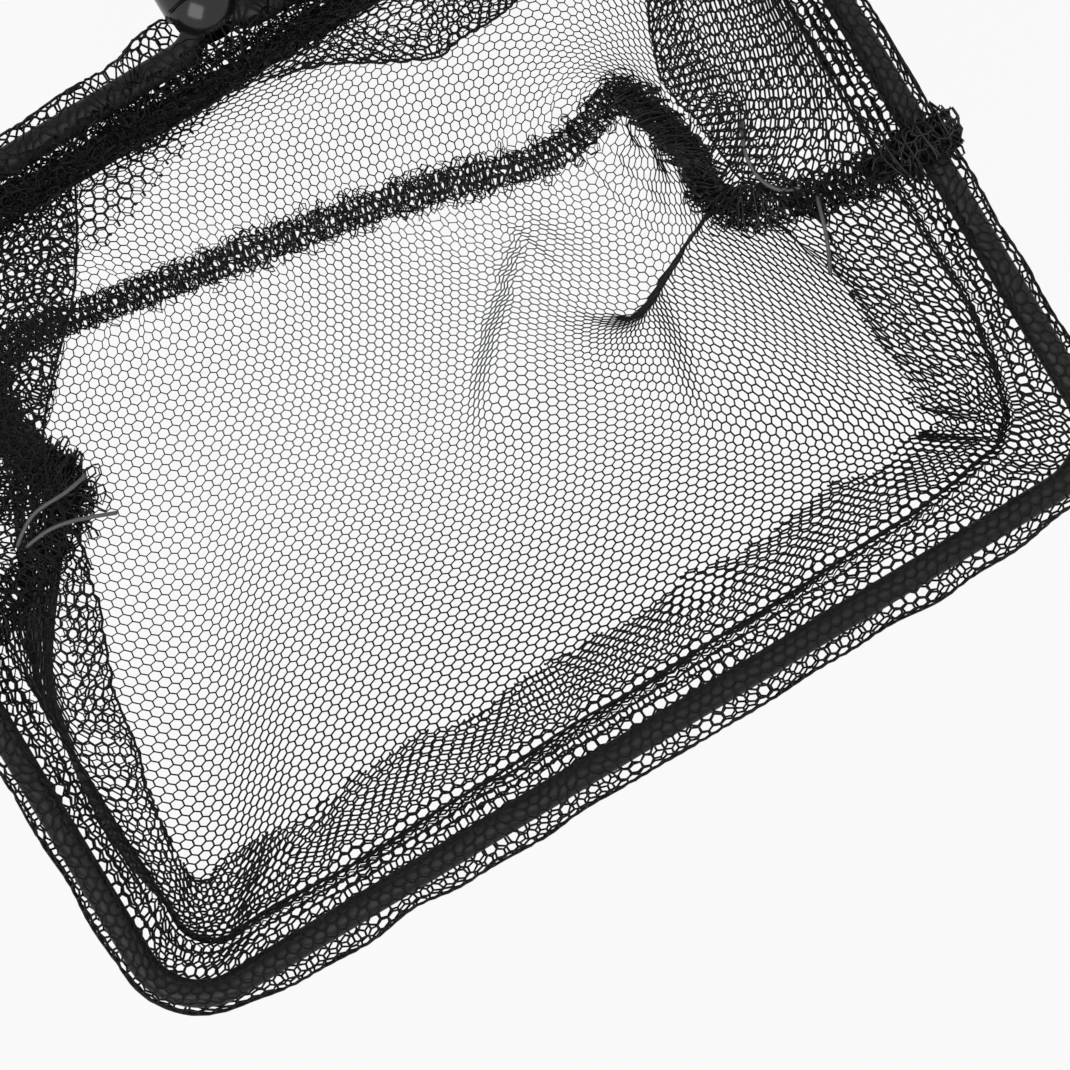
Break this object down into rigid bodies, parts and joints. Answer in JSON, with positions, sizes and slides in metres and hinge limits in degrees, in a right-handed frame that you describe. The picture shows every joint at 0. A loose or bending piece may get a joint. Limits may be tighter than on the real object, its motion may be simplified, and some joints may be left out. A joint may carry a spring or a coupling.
{
  "type": "aquarium fish net",
  "caption": "Hand net for an aquarium: a soft mesh bag on a rounded rectangular coated wire hoop, with a telescopic metal handle, rubber grip and hanging eye.",
  "frame": {"origin": "on the handle's axis, at the middle of the grip's plain land", "axes": "+Y along the handle from the hoop to the hanging eye, +Z out of the hoop's mouth, the bag hangs to -Z"},
  "size_m": [0.133, 0.2943, 0.0809],
  "materials": {
    "wire": "drawn steel wire",
    "coating": "satin black plastic coat",
    "connector": "glossy black moulding",
    "pin": "ground steel",
    "tube": "drawn stainless tube",
    "bush": "spring brass",
    "grip": "matt black rubber",
    "trim": "satin black moulding",
    "mesh": "black nylon hexagonal mesh",
    "seam": "gathered overlocked mesh"
  },
  "bodies": {
    "handle": {"outer_tube": "tube", "grip": "grip", "grip_collar": "trim", "end_cap": "trim"},
    "middle_section": {"middle_tube": "tube", "middle_bush": "bush"},
    "head": {"inner_tube": "tube", "inner_bush": "bush", "connector": "connector", "connector_pin": "pin", "hoop_wire": "wire", "hoop_coating": "coating", "front_hem": "mesh", "back_hem_left": "mesh", "back_hem_right": "mesh", "front_panel": "mesh", "back_panel": "mesh", "bag_seam": "seam"}
  },
  "joints": [
    {"name": "middle_draw", "type": "slide", "parent": "handle", "child": "middle_section", "axis": [0, -1, 0], "range_m": [0, 0.0941]},
    {"name": "inner_draw", "type": "slide", "parent": "middle_section", "child": "head", "axis": [0, -1, 0], "range_m": [0, 0.0921]}
  ]
}
